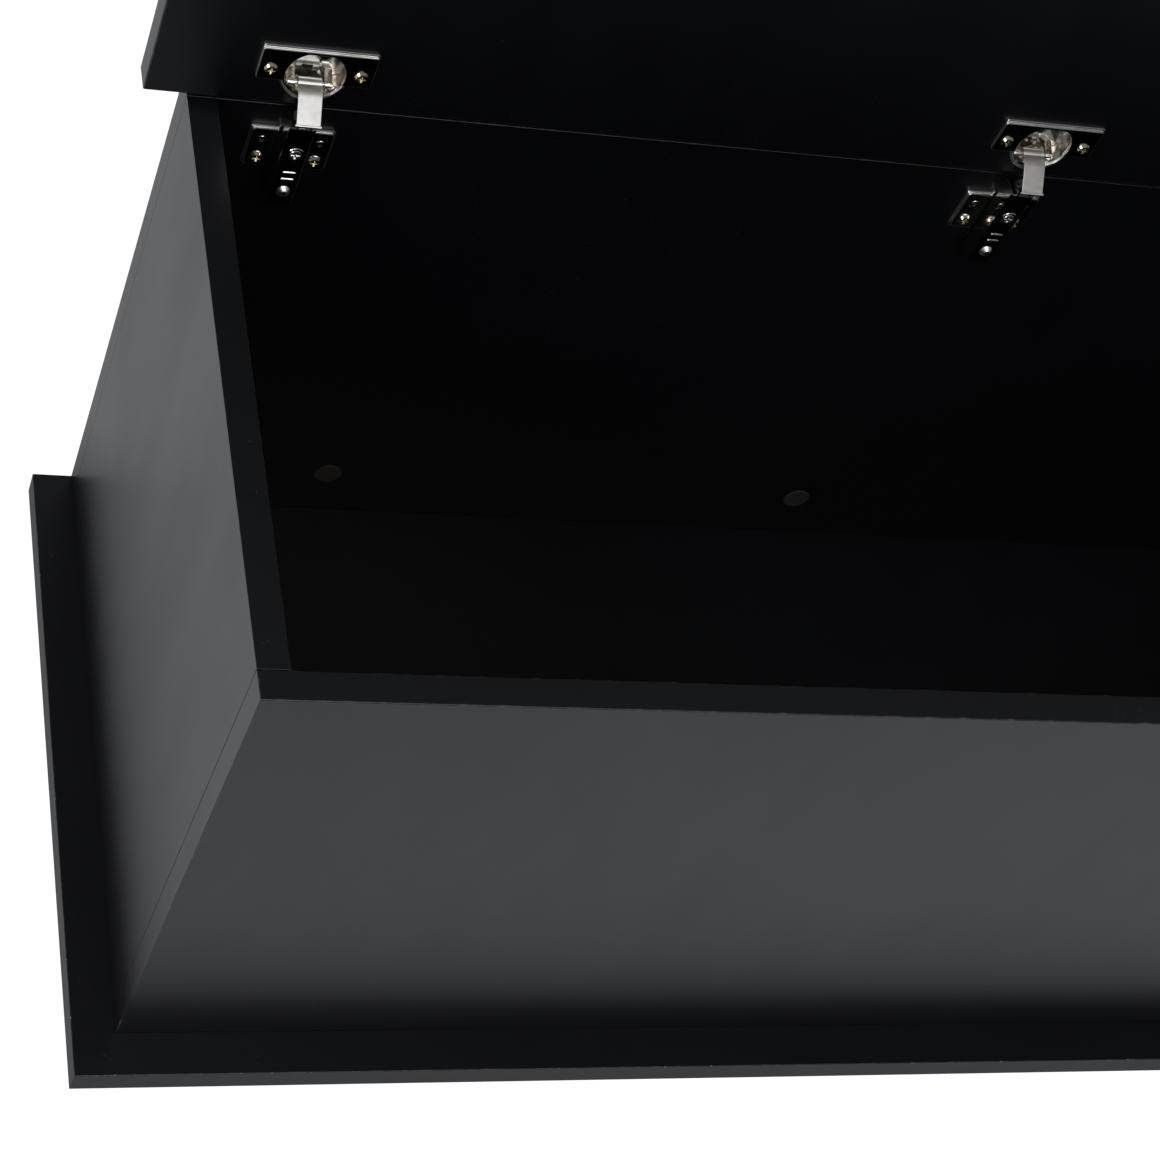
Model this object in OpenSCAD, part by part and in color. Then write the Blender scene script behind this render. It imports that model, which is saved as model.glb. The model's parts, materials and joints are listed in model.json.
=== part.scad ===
// Storage coffee table: a board box on a wider base plate, closed by a lid on
// three concealed cup hinges. Millimetres, +Z up, front towards -Y, lid open.

/* [Box] */
// Width of the box, side to side
box_w = 967; // [700:1:1200]
// Depth of the box, front to back
box_d = 380; // [300:1:480]
// Height of the box walls above the base plate
box_h = 356; // [260:1:450]
// Thickness of the wall and lid boards
board_t = 16; // [16:1:18]
// Thickness of the base plate
base_t = 18; // [16:1:25]
// How far base plate and lid stand out past the box at the front
lip_front = 25; // [10:1:40]
// How far base plate and lid stand out past the box at each side
lip_side = 24.5; // [10:0.5:40]
// Height of the glides under the base plate
glide_h = 3; // [2:0.5:6]

/* [Lid] */
// Gap between the closed lid and the rim, filled by the bumper pads
closed_gap = 2; // [2:0.1:2.5]
// Height of the upright lid's lower edge above the rim
open_gap = 5; // [5:0.1:5.5]
// How far the upright lid stands in front of the back panel's inner face
open_inset = 4; // [3.8:0.1:4.2]

/* [Hinges] */
// Distance of the outer hinges from the box's ends
hinge_in = 61; // [50:1:150]
// Distance of the cup's centre from the lid's hinge edge
cup_s = 22.5; // [22:0.1:23]
// Radius of the cup's body
cup_r = 17.5; // [17:0.1:17.5]
// Depth of the cup in the lid
cup_depth = 11.4; // [11:0.1:12]
// Distance of the mounting screws from the rim
plate_drop = 37; // [36:0.5:38]
// Distance between the mounting plate's two screws
plate_pitch = 32; // [30:1:34]
// Distance between the cup flange's two screws
flange_pitch = 48; // [46:1:48]

/* [Joinery] */
// Distance of the cam locks from the joined face
cam_reach = 38; // [34:1:40]
// Distance of the outer base fittings from the box's ends
cam_in = 157; // [100:1:220]

/* [Hidden] */
$fn = 48;
fit = 0.06;                     // running or seating clearance on a radius
base_w = box_w + 2 * lip_side;
base_d = box_d + lip_front;
y_back = base_d / 2;            // outer face of the back panel
y_front = y_back - box_d;       // outer face of the front panel
y_in = y_back - board_t;        // inner face of the back panel
z_base = glide_h;
z_floor = z_base + base_t;
z_rim = z_floor + box_h;
side_d = box_d - 2 * board_t;
side_x = box_w / 2 - board_t / 2;

// The lid turns from upright to closed about the links' pins. A point of the
// lid is (n, s): n deep from its underside, s up from its hinge edge.
hinge_x = [hinge_in - box_w / 2, 0, box_w / 2 - hinge_in];
pole = [(board_t - open_inset + open_gap - closed_gap) / 2,
        (board_t + open_inset + open_gap + closed_gap) / 2];
cup_pin = [3.5, 12.5];
arm_pin_u = -13.5;
lid_pin = [cup_pin[0] - open_inset, cup_pin[1] + open_gap];
bisect = atan2(lid_pin[1] - pole[1], lid_pin[0] - pole[0]) + 45;
arm_pin = [arm_pin_u, pole[1] + (arm_pin_u - pole[0]) * tan(bisect)];
link_len = norm(lid_pin - arm_pin);
link_tilt = atan2(lid_pin[1] - arm_pin[1], lid_pin[0] - arm_pin[0]);
inner_pin = [-10.4, 3];

// Hinge sections
pin_r = 1.2;
small_pin_r = 1;
arm_w = 14.5;
arm_face = -14.5;
arm_len = 58;
sheet = 1.3;
cheek_in = 2.9;                 // half gap between the arm's nose cheeks
cheek_out = 4.5;
link_out = 6.5;
cup_wall = 1.1;
flange_t = 2.3;
flange_w = 61.5;
flange_low = 5;                 // flange's reach below and above the cup's centre
flange_high = 17.8;
rim_r = 18.4;
rim_t = 1.5;                    // thinner than the closed gap, as it lies over the back panel
fix_w = -20;                    // centre screw
adjust_w = -48;                 // end screw

// ---- joinery ---------------------------------------------------------------

// Each joint: [point on the joined face, rotation]. Local Z runs into the
// board that holds the cam, local X towards the face the cam opens on.
function base_row(y, turn) =
    [for (x = [cam_in - box_w / 2, 0, box_w / 2 - cam_in])
        [[x, y, z_floor], [0, 0, turn]]];
function side_pair(x, turn) =
    [for (y = [y_front + 95, y_back - 95]) [[x, y, z_floor], [0, 0, turn]]];
function corner(side, end) =
    [for (z = [70, box_h - 80])
        [[side * side_x, end > 0 ? y_in : y_front + board_t, z_floor + z],
         [side * end > 0 ? -90 : 90, 0, side > 0 ? 180 : 0]]];
BACK_BASE = base_row(y_back - board_t / 2, -90);
FRONT_BASE = base_row(y_front + board_t / 2, 90);
LEFT_BASE = side_pair(-side_x, 0);
RIGHT_BASE = side_pair(side_x, 180);
LEFT_CORNERS = concat(corner(-1, -1), corner(-1, 1));
RIGHT_CORNERS = concat(corner(1, -1), corner(1, 1));
BASE_JOINTS = concat(BACK_BASE, FRONT_BASE, LEFT_BASE, RIGHT_BASE);
ALL_JOINTS = concat(BASE_JOINTS, LEFT_CORNERS, RIGHT_CORNERS);

cam_r = 7.4;
cam_deep = 12.6;
cap_r = 8.7;
bolt_bite = 11;
dowel_r = 4;
dowel_off = 40;                 // dowel beside each fitting
dowel_bite = 10;
dowel_len = 30;

module at(joints) for (j = joints) translate(j[0]) rotate(j[1]) children();

// Beside its fitting, a dowel lies along the joined edge
module dowel_place(j) translate(j[0]) rotate(j[1]) translate([0, dowel_off, 0]) children();

module cam_holes(joints) {
    at(joints) {
        translate([board_t / 2 - cam_deep - 0.2, 0, cam_reach]) rotate([0, 90, 0])
            cylinder(r = cam_r + fit, h = cam_deep + 1);
        translate([0, 0, -1]) cylinder(r = 4, h = cam_reach + 1);
    }
    for (j = joints) dowel_place(j)
        translate([0, 0, -1]) cylinder(r = dowel_r + fit, h = dowel_len - dowel_bite + 2);
}

module bolt_holes(joints) {
    at(joints) translate([0, 0, -bolt_bite - 0.5]) cylinder(r = 2.5 + fit, h = bolt_bite + 1);
    for (j = joints) dowel_place(j)
        translate([0, 0, -dowel_bite - 0.5]) cylinder(r = dowel_r + fit, h = dowel_bite + 1);
}

module cam_locks() color("silver") at(ALL_JOINTS)
    translate([0, 0, cam_reach]) difference() {
        translate([board_t / 2 - cam_deep, 0, 0]) rotate([0, 90, 0])
            cylinder(r = cam_r, h = cam_deep - 0.2);
        translate([0, 0, -cam_r - 1]) cylinder(r = 3.9, h = cam_r + 3);
        for (a = [0, 90]) translate([board_t / 2, 0, 0]) rotate([a, 0, 0])
            cube([3, 1.4, 8], center = true);
    }

module cam_caps() color("rosybrown") at(ALL_JOINTS)
    translate([board_t / 2, 0, cam_reach]) rotate([0, 90, 0]) {
        cylinder(r = cap_r, h = 0.3);
        translate([0, 0, 0.3]) cylinder(r1 = cap_r, r2 = cap_r - 0.5, h = 0.3);
    }

module cam_bolts() color("gainsboro") at(ALL_JOINTS) {
    translate([0, 0, -bolt_bite]) cylinder(r = 2.5, h = bolt_bite);
    cylinder(r = 3.6, h = 5);
    translate([0, 0, 5]) cylinder(r = 2, h = cam_reach - 8);
    translate([0, 0, cam_reach - 3]) cylinder(r = 3.2, h = 3);
}

module dowels() color("burlywood") for (j = ALL_JOINTS) dowel_place(j)
    translate([0, 0, -dowel_bite]) cylinder(r = dowel_r, h = dowel_len);

// ---- boards ----------------------------------------------------------------

module base_plate() color([0.12, 0.12, 0.13]) difference() {
    translate([-base_w / 2, -base_d / 2, z_base]) cube([base_w, base_d, base_t]);
    bolt_holes(BASE_JOINTS);
}

module wall(y) translate([-box_w / 2, y, z_floor]) cube([box_w, board_t, box_h]);

module front_panel() color([0.24, 0.24, 0.27]) difference() {
    wall(y_front);
    cam_holes(FRONT_BASE);
    bolt_holes(concat(corner(-1, -1), corner(1, -1)));
}

module back_panel() color([0.1, 0.1, 0.11]) difference() {
    wall(y_in);
    cam_holes(BACK_BASE);
    bolt_holes(concat(corner(-1, 1), corner(1, 1)));
    at_hinges() plate_screw_places() plate_screw_hole();
}

module side_panel(side, base_joints, corner_joints) color([0.32, 0.32, 0.34]) difference() {
    translate([side * side_x - board_t / 2, y_front + board_t, z_floor])
        cube([board_t, side_d, box_h]);
    cam_holes(base_joints);
    cam_holes(corner_joints);
}

module side_panel_left() side_panel(-1, LEFT_BASE, LEFT_CORNERS);
module side_panel_right() side_panel(1, RIGHT_BASE, RIGHT_CORNERS);

module glides() color("dimgray")
    for (x = [-base_w / 2 + 60, 0, base_w / 2 - 60], y = [-base_d / 2 + 45, base_d / 2 - 45])
        translate([x, y, 0]) {
            cylinder(r1 = 10, r2 = 11, h = 0.8, $fn = 64);
            translate([0, 0, 0.8]) cylinder(r = 11, h = glide_h - 0.8, $fn = 64);
        }

// ---- hinges ----------------------------------------------------------------

// Places a piece drawn in the hinge's section: X across, Y outward from the
// back panel's inner face, Z up from the rim.
module at_hinge(i) translate([hinge_x[i], y_in, z_rim]) children();
module at_hinges() for (i = [0:2]) at_hinge(i) children();

// Extrudes an outline drawn as (outward, up) from x = a to x = b
module across(a, b) translate([a, 0, 0]) rotate([90, 0, 90]) linear_extrude(b - a) children();
module both_sides() {
    children();
    mirror([1, 0, 0]) children();
}
module rod(place, r, a, b) across(a, b) translate(place) circle(r = r);

module plate_screw_places() for (s = [-1, 1])
    translate([s * plate_pitch / 2, 0, -plate_drop]) rotate([90, 0, 0]) children();
module plate_screw_hole() translate([0, 0, -12.5]) cylinder(r = 1.8 + fit, h = 13);

// Wing outline in (x, z), with its outer corners cut off
module wing() {
    polygon([[7, -15], [21, -15], [23.5, -18], [23.5, -42], [20.5, -44.5], [7, -44.5]]);
}

module mounting_plate() color("silver") difference() {
    union() {
        both_sides() rotate([90, 0, 0]) linear_extrude(2.8) wing();
        translate([-5.7, -9, -52]) cube([11.4, 9, 40]);
        translate([-8, -2.8, -52]) cube([16, 2.8, 40]);
    }
    plate_screw_places() translate([0, 0, -1]) cylinder(r = 2.1, h = 5);
    both_sides() translate([plate_pitch / 2, 1, -24]) rotate([90, 0, 0]) cylinder(r = 2.4, h = 5);
    translate([0, 1, fix_w]) rotate([90, 0, 0]) cylinder(r = 2 + fit, h = 12);
    translate([0, -4, adjust_w]) rotate([90, 0, 0]) cylinder(r = 2 + fit, h = 12);
}

module mounting_plate_left() at_hinge(0) mounting_plate();
module mounting_plate_middle() at_hinge(1) mounting_plate();
module mounting_plate_right() at_hinge(2) mounting_plate();

// Pan head with a cross recess, head along local +Z
module cross_screw(r, len, head_r, head_h) difference() {
    union() {
        translate([0, 0, -len]) cylinder(r = r, h = len + 0.1);
        cylinder(r1 = head_r, r2 = head_r * 0.8, h = head_h);
    }
    for (a = [0, 90]) rotate([0, 0, a]) translate([0, 0, head_h])
        cube([head_r * 1.2, 0.9, 2 * min(1.2, head_h * 0.7)], center = true);
}

module plate_screws() color("gold") at_hinges() plate_screw_places()
    translate([0, 0, 2.85]) cross_screw(1.8, 15, 3.6, 1.7);

// The arm is a channel over the mounting plate, with a narrow nose at its top
module arm_slots() {
    translate([0, 0, fix_w]) rotate([90, 0, 0]) cylinder(r = 2.2, h = 40);
    translate([-2.2, arm_face - 1, adjust_w - 2.2]) cube([4.4, 4, 4.4]);
    for (w = [-36.5, -41]) translate([-3.5, arm_face - 1, w]) cube([7, 4, 2.5]);
}

module nose_cheek() difference() {
    union() {
        polygon([[arm_face + sheet - 0.2, -7], [-6, -7], [-6, -1], [inner_pin[0] + 2.2, inner_pin[1]],
            [arm_pin[0] + 2.3, arm_pin[1]], [arm_pin[0] - 2.3, arm_pin[1]], [arm_face, -1],
            [arm_face, -3]]);
        translate(arm_pin) circle(r = 2.4);
        translate(inner_pin) circle(r = 2.2);
    }
    translate(arm_pin) circle(r = pin_r + fit);
    translate(inner_pin) circle(r = small_pin_r + fit);
}

module hinge_arm() color("gainsboro") {
    difference() {
        translate([-arm_w / 2, arm_face, -arm_len]) cube([arm_w, sheet, arm_len - 1]);
        arm_slots();
    }
    both_sides() {
        translate([arm_w / 2 - sheet, arm_face + sheet, -arm_len])
            cube([sheet, -arm_face - sheet - 3.2, arm_len - 2]);
        across(cheek_in, cheek_out) nose_cheek();
    }
}

module hinge_arm_left() at_hinge(0) hinge_arm();
module hinge_arm_middle() at_hinge(1) hinge_arm();
module hinge_arm_right() at_hinge(2) hinge_arm();

module arm_fixing_screws() color("white") at_hinges() translate([0, arm_face, fix_w])
    rotate([90, 0, 0]) cross_screw(2, 12, 4, 2);

module arm_adjusting_screws() color("white") at_hinges() translate([0, arm_face, adjust_w])
    rotate([90, 0, 0]) cross_screw(2, 9, 3.8, 1.4);

module arm_pins() color("silver") at_hinges() {
    both_sides() rod(arm_pin, pin_r, cheek_in, link_out);
    rod(inner_pin, small_pin_r, -cheek_out, cheek_out);
}

// A thin strip in the arm's channel that presses on the inner link
module leaf_springs() color("silver") at_hinges() across(-2.4, 2.4)
    polygon([[arm_face + sheet, -15], [-12.1, -15], [-11.4, -6], [-8.3, -1.8], [-6.9, 1],
        [-7.4, 1.2], [-8.8, -1.3], [-11.9, -5.6], [-12.6, -10], [arm_face + sheet, -10]]);

// Outer link: its own axes have X along the pin line, Y to its outer face. A
// cover plate runs from the arm to a half roll over the cup pin.
cover_low = -6;                 // the plate's end past the arm pin
cover_y = 4;                    // the plate's height above the pin line
cover_t = 1.1;
roll_r = 2.1;
function roll(r, a, b) =
    [for (i = [0:6]) [link_len, 0] + r * [cos(a + (b - a) * i / 6), sin(a + (b - a) * i / 6)]];
cover = concat([[cover_low, cover_y], [9.5, cover_y], [13.5, 3.3]], roll(roll_r, 110, 0),
    roll(roll_r + cover_t, 0, 110), [[13.9, 4.35], [9.7, cover_y + cover_t],
    [cover_low, cover_y + cover_t]]);
ear_r = 2.2;

module link_frame() translate(arm_pin) rotate(link_tilt) children();
module link_bore(x) translate([x, 0]) circle(r = pin_r + fit);

module outer_link() color("whitesmoke") {
    across(-link_out, link_out) link_frame() polygon(cover);
    both_sides() {
        across(cheek_out + 0.3, link_out) link_frame() difference() {
            union() {
                circle(r = ear_r);
                translate([-ear_r, 0]) square([2 * ear_r, cover_y + 0.1]);
            }
            link_bore(0);
        }
        across(cheek_in, link_out) link_frame() difference() {
            translate([link_len, 0]) circle(r = roll_r + cover_t);
            link_bore(link_len);
        }
    }
}

module outer_link_left() at_hinge(0) outer_link();
module outer_link_middle() at_hinge(1) outer_link();
module outer_link_right() at_hinge(2) outer_link();

// Inner link: a bent strap between the outer link's prongs, free at its cup end.
// Its outline follows the path on both sides, mitred at the bends.
strap = 1.3;
inner_hub = 1.9;
inner_path = [inner_pin, [-9, 13.9], [-5, 15.2], [0.6, 15.6]];
function unit(v) = v / norm(v);
function left_of(v) = [-v[1], v[0]];
function leg(i) = unit(inner_path[i + 1] - inner_path[i]);
function mitre(i) = i == 0 ? left_of(leg(0)) : i == 3 ? left_of(leg(2))
    : left_of(leg(i - 1) + leg(i)) / (1 + leg(i - 1) * leg(i));
function strap_start(i) = i == 0 ? leg(0) * (inner_hub + small_pin_r) / 2 : [0, 0];
function strap_edge(side) =
    [for (i = [0:3]) inner_path[i] + strap_start(i) + side * strap / 2 * mitre(i)];
function backwards(list) = [for (i = [len(list) - 1:-1:0]) list[i]];

module inner_link() color("gainsboro") across(-2.6, 2.6) difference() {
    union() {
        polygon(concat(strap_edge(-1), backwards(strap_edge(1))));
        translate(inner_pin) circle(r = inner_hub);
    }
    translate(inner_pin) circle(r = small_pin_r + fit);
}

module inner_link_left() at_hinge(0) inner_link();
module inner_link_middle() at_hinge(1) inner_link();
module inner_link_right() at_hinge(2) inner_link();

// ---- lid -------------------------------------------------------------------

// Places a piece in the lid's frame: X across, Y deep from the underside,
// Z up from the hinge edge
module in_lid() translate([0, y_in - open_inset, z_rim + open_gap]) children();
module in_lid_at_hinges() in_lid() for (x = hinge_x) translate([x, 0, 0]) children();
module flange_screw_places() for (s = [-1, 1])
    translate([s * flange_pitch / 2, 0, cup_s + 3]) rotate([90, 0, 0]) children();

module lid_panel() color([0.09, 0.09, 0.11]) difference() {
    in_lid() translate([-base_w / 2, 0, 0]) cube([base_w, board_t, base_d]);
    in_lid_at_hinges() {
        translate([0, -1, cup_s]) rotate([-90, 0, 0]) cylinder(r = cup_r + fit, h = cup_depth + 1.1);
        flange_screw_places() translate([0, 0, -12.5]) cylinder(r = 1.8 + fit, h = 13);
    }
}

module cup_cavity() translate([0, -flange_t - 1, cup_s]) rotate([-90, 0, 0])
    cylinder(r = cup_r - cup_wall, h = cup_depth + flange_t + 1 - cup_wall);

module hinge_cup() color("silver") difference() {
    union() {
        translate([0, -rim_t, cup_s]) rotate([-90, 0, 0]) {
            cylinder(r = cup_r, h = cup_depth + rim_t);
            cylinder(r = rim_r, h = rim_t);
        }
        translate([-flange_w / 2, -flange_t, cup_s - flange_low])
            cube([flange_w, flange_t, flange_low + flange_high]);
    }
    cup_cavity();
    flange_screw_places() translate([0, 0, -1]) cylinder(r = 2.1, h = 5);
    both_sides() rod(cup_pin, pin_r + fit, cheek_in, 15.5);
}

module hinge_cup_left() in_lid() translate([hinge_x[0], 0, 0]) hinge_cup();
module hinge_cup_middle() in_lid() translate([hinge_x[1], 0, 0]) hinge_cup();
module hinge_cup_right() in_lid() translate([hinge_x[2], 0, 0]) hinge_cup();

module cup_pins() color("silver") in_lid_at_hinges() both_sides()
    rod(cup_pin, pin_r, cheek_in, 13.6);

module cup_screws() color("gold") in_lid_at_hinges() flange_screw_places()
    translate([0, 0, flange_t + 0.05]) cross_screw(1.8, 14, 3.6, 1.5);

module lid_bumpers() color("lightgray") in_lid()
    for (x = [-box_w / 2 + 30, box_w / 2 - 30])
        translate([x, 0, base_d - lip_front - board_t / 2]) rotate([90, 0, 0])
            cylinder(r = 5, h = closed_gap - 0.2);

// ---- nodes -----------------------------------------------------------------

base_plate();
front_panel();
back_panel();
side_panel_left();
side_panel_right();
glides();
cam_locks();
cam_caps();
cam_bolts();
dowels();
mounting_plate_left();
mounting_plate_middle();
mounting_plate_right();
plate_screws();
hinge_arm_left();
hinge_arm_middle();
hinge_arm_right();
arm_fixing_screws();
arm_adjusting_screws();
arm_pins();
leaf_springs();
outer_link_left();
outer_link_middle();
outer_link_right();
inner_link_left();
inner_link_middle();
inner_link_right();
lid_panel();
hinge_cup_left();
hinge_cup_middle();
hinge_cup_right();
cup_pins();
cup_screws();
lid_bumpers();
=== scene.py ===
"""Storage coffee table with its lid up: black foil boards, bright cup hinges, soft studio light."""
import json
import logging
import math
import random
from dataclasses import dataclass, field
from enum import Enum

import bmesh
import bpy
from mathutils import Euler, Matrix, Vector


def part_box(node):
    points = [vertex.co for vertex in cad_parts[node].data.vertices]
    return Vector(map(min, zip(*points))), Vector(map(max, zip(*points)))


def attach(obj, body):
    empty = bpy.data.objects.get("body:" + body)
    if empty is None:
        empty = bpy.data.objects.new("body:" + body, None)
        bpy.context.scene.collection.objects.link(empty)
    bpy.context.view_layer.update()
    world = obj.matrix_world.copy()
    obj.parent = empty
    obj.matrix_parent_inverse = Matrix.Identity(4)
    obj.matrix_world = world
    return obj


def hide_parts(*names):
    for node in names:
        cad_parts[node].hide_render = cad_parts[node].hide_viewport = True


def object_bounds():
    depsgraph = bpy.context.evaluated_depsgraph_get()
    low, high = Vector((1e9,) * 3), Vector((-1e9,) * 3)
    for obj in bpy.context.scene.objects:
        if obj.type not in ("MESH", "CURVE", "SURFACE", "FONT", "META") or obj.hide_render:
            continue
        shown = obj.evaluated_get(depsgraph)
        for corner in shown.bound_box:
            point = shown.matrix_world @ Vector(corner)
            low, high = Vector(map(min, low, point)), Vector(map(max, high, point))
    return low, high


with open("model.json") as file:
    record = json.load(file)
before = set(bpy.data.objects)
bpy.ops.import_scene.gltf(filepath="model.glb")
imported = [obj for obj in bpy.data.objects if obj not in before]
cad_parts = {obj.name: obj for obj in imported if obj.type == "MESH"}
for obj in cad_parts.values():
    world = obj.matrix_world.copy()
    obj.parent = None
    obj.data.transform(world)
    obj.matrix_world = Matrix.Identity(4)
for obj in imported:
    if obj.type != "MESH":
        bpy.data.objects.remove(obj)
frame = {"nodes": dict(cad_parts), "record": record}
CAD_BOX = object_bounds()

MM = 0.001
SIDES = (1, -1)
HINGE_NAMES = ("left", "middle", "right")
log = logging.getLogger("table")

Point = tuple[float, float]


class Axis(Enum):
    """The direction in which an outline is extruded; its value orders (outline a, outline b, along)."""

    X = (2, 0, 1)
    Y = (0, 2, 1)
    Z = (0, 1, 2)


# ---- node groups ------------------------------------------------------------


class Group:
    """A shader node group under construction, with named inputs and outputs."""

    def __init__(self, name: str, inputs: dict[str, float], outputs: dict[str, str]) -> None:
        """Makes the group and its sockets.

        Args:
            name: The group's name.
            inputs: Each float input and its default.
            outputs: Each output and its socket type.
        """
        self.tree = bpy.data.node_groups.new(name, "ShaderNodeTree")
        for label, value in inputs.items():
            socket = self.tree.interface.new_socket(label, in_out="INPUT", socket_type="NodeSocketFloat")
            socket.default_value = value
        for label, kind in outputs.items():
            self.tree.interface.new_socket(label, in_out="OUTPUT", socket_type=kind)
        self.inputs = self.tree.nodes.new("NodeGroupInput")
        self.outputs = self.tree.nodes.new("NodeGroupOutput")

    def node(self, kind: str, **settings: object) -> bpy.types.Node:
        """Adds a node and sets its properties."""
        made = self.tree.nodes.new(kind)
        for label, value in settings.items():
            setattr(made, label, value)
        return made

    def link(self, source: bpy.types.NodeSocket, target: bpy.types.NodeSocket) -> None:
        """Links two sockets."""
        self.tree.links.new(source, target)

    def math(self, operation: str, a: object, b: object = 0.0, clamp: bool = False) -> bpy.types.NodeSocket:
        """Adds a math node.

        Args:
            operation: The node's operation.
            a: First operand, a socket or a number.
            b: Second operand, a socket or a number.
            clamp: Whether the result is held between 0 and 1.

        Returns:
            The result socket.
        """
        made = self.node("ShaderNodeMath", operation=operation, use_clamp=clamp)
        for index, operand in enumerate((a, b)):
            if isinstance(operand, bpy.types.NodeSocket):
                self.link(operand, made.inputs[index])
            else:
                made.inputs[index].default_value = operand
        return made.outputs[0]

    def noise(self, scale: object, detail: float, stretch: tuple[float, float, float] = (1, 1, 1),
              seed: float = 0.0) -> bpy.types.NodeSocket:
        """Adds noise over the object's own coordinates.

        Args:
            scale: Cells per metre, a socket or a number.
            detail: Octaves.
            stretch: Factor on each coordinate before the noise.
            seed: Shift of the pattern.

        Returns:
            The noise value socket.
        """
        place = self.node("ShaderNodeTexCoord")
        mapping = self.node("ShaderNodeMapping")
        mapping.inputs["Scale"].default_value = stretch
        mapping.inputs["Location"].default_value = (seed, seed, seed)
        self.link(place.outputs["Object"], mapping.inputs["Vector"])
        made = self.node("ShaderNodeTexNoise")
        made.inputs["Detail"].default_value = detail
        if isinstance(scale, bpy.types.NodeSocket):
            self.link(scale, made.inputs["Scale"])
        else:
            made.inputs["Scale"].default_value = scale
        self.link(mapping.outputs["Vector"], made.inputs["Vector"])
        return made.outputs["Fac"]

    def ramp(self, value: bpy.types.NodeSocket, low: float, high: float) -> bpy.types.NodeSocket:
        """Maps low..high to 0..1, held at both ends."""
        made = self.node("ShaderNodeMapRange", clamp=True)
        self.link(value, made.inputs["Value"])
        made.inputs["From Min"].default_value = low
        made.inputs["From Max"].default_value = high
        return made.outputs["Result"]


def embossed_foil() -> bpy.types.NodeTree:
    """Builds the board foil's fine embossing.

    Returns:
        A group with a height, a tone that drifts over the board, and a roughness change.
    """
    group = Group("embossed_foil", {"Pebble": 2600.0, "Depth": 1.0},
                  {"Height": "NodeSocketFloat", "Tone": "NodeSocketFloat", "Gloss": "NodeSocketFloat"})
    pebble = group.noise(group.inputs.outputs["Pebble"], 2.0)
    pores = group.ramp(group.noise(900.0, 3.0, (0.06, 1, 1), 3.1), 0.60, 0.74)
    relief = group.math("SUBTRACT", pebble, group.math("MULTIPLY", pores, 0.7))
    group.link(group.math("MULTIPLY", relief, group.inputs.outputs["Depth"]), group.outputs.inputs["Height"])
    cloud = group.noise(5.0, 4.0, seed=1.7)
    group.link(group.ramp(cloud, 0.3, 0.7), group.outputs.inputs["Tone"])
    smear = group.noise(24.0, 5.0, (1, 1, 0.35), 5.3)
    group.link(group.math("ADD", group.ramp(smear, 0.35, 0.75), group.math("MULTIPLY", pores, 0.6)),
               group.outputs.inputs["Gloss"])
    return group.tree


def dust_specks() -> bpy.types.NodeTree:
    """Builds a mask of small pale specks.

    Returns:
        A group with one mask output.
    """
    group = Group("dust_specks", {"Scale": 420.0, "Amount": 0.5}, {"Mask": "NodeSocketFloat"})
    place = group.node("ShaderNodeTexCoord")
    cells = group.node("ShaderNodeTexVoronoi")
    group.link(place.outputs["Object"], cells.inputs["Vector"])
    group.link(group.inputs.outputs["Scale"], cells.inputs["Scale"])
    spot = group.math("LESS_THAN", cells.outputs["Distance"], 0.13)
    rare = group.ramp(group.noise(60.0, 3.0, seed=9.0), 0.58, 0.66)
    mask = group.math("MULTIPLY", group.math("MULTIPLY", spot, rare), group.inputs.outputs["Amount"])
    group.link(mask, group.outputs.inputs["Mask"])
    return group.tree


def edge_rub_and_highlight() -> bpy.types.NodeTree:
    """Builds the patchy rubbing of a foil edge, which also paints highlight along the edge.

    Returns:
        A group with a mask of worn spots, partly painted highlight.
    """
    group = Group("edge_rub_and_highlight", {"Scale": 160.0, "Amount": 0.5}, {"Mask": "NodeSocketFloat"})
    coarse = group.ramp(group.noise(group.inputs.outputs["Scale"], 4.0, seed=2.0), 0.52, 0.72)
    fine = group.noise(1400.0, 2.0, seed=4.0)
    group.link(group.math("MULTIPLY", group.math("MULTIPLY", coarse, fine), group.inputs.outputs["Amount"],
                          clamp=True), group.outputs.inputs["Mask"])
    return group.tree


def plating() -> bpy.types.NodeTree:
    """Builds the surface of a plated pressing.

    Returns:
        A group with a height, a roughness mask and a tarnish mask.
    """
    group = Group("plating", {"Scale": 220.0, "Ripple": 1.0},
                  {"Height": "NodeSocketFloat", "Smudge": "NodeSocketFloat", "Tarnish": "NodeSocketFloat"})
    waves = group.noise(group.inputs.outputs["Scale"], 2.0, seed=6.0)
    group.link(group.math("MULTIPLY", waves, group.inputs.outputs["Ripple"]), group.outputs.inputs["Height"])
    group.link(group.ramp(group.noise(480.0, 5.0, seed=8.0), 0.4, 0.75), group.outputs.inputs["Smudge"])
    group.link(group.ramp(group.noise(130.0, 4.0, seed=11.0), 0.5, 0.8), group.outputs.inputs["Tarnish"])
    return group.tree


# ---- finishes ---------------------------------------------------------------


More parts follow.
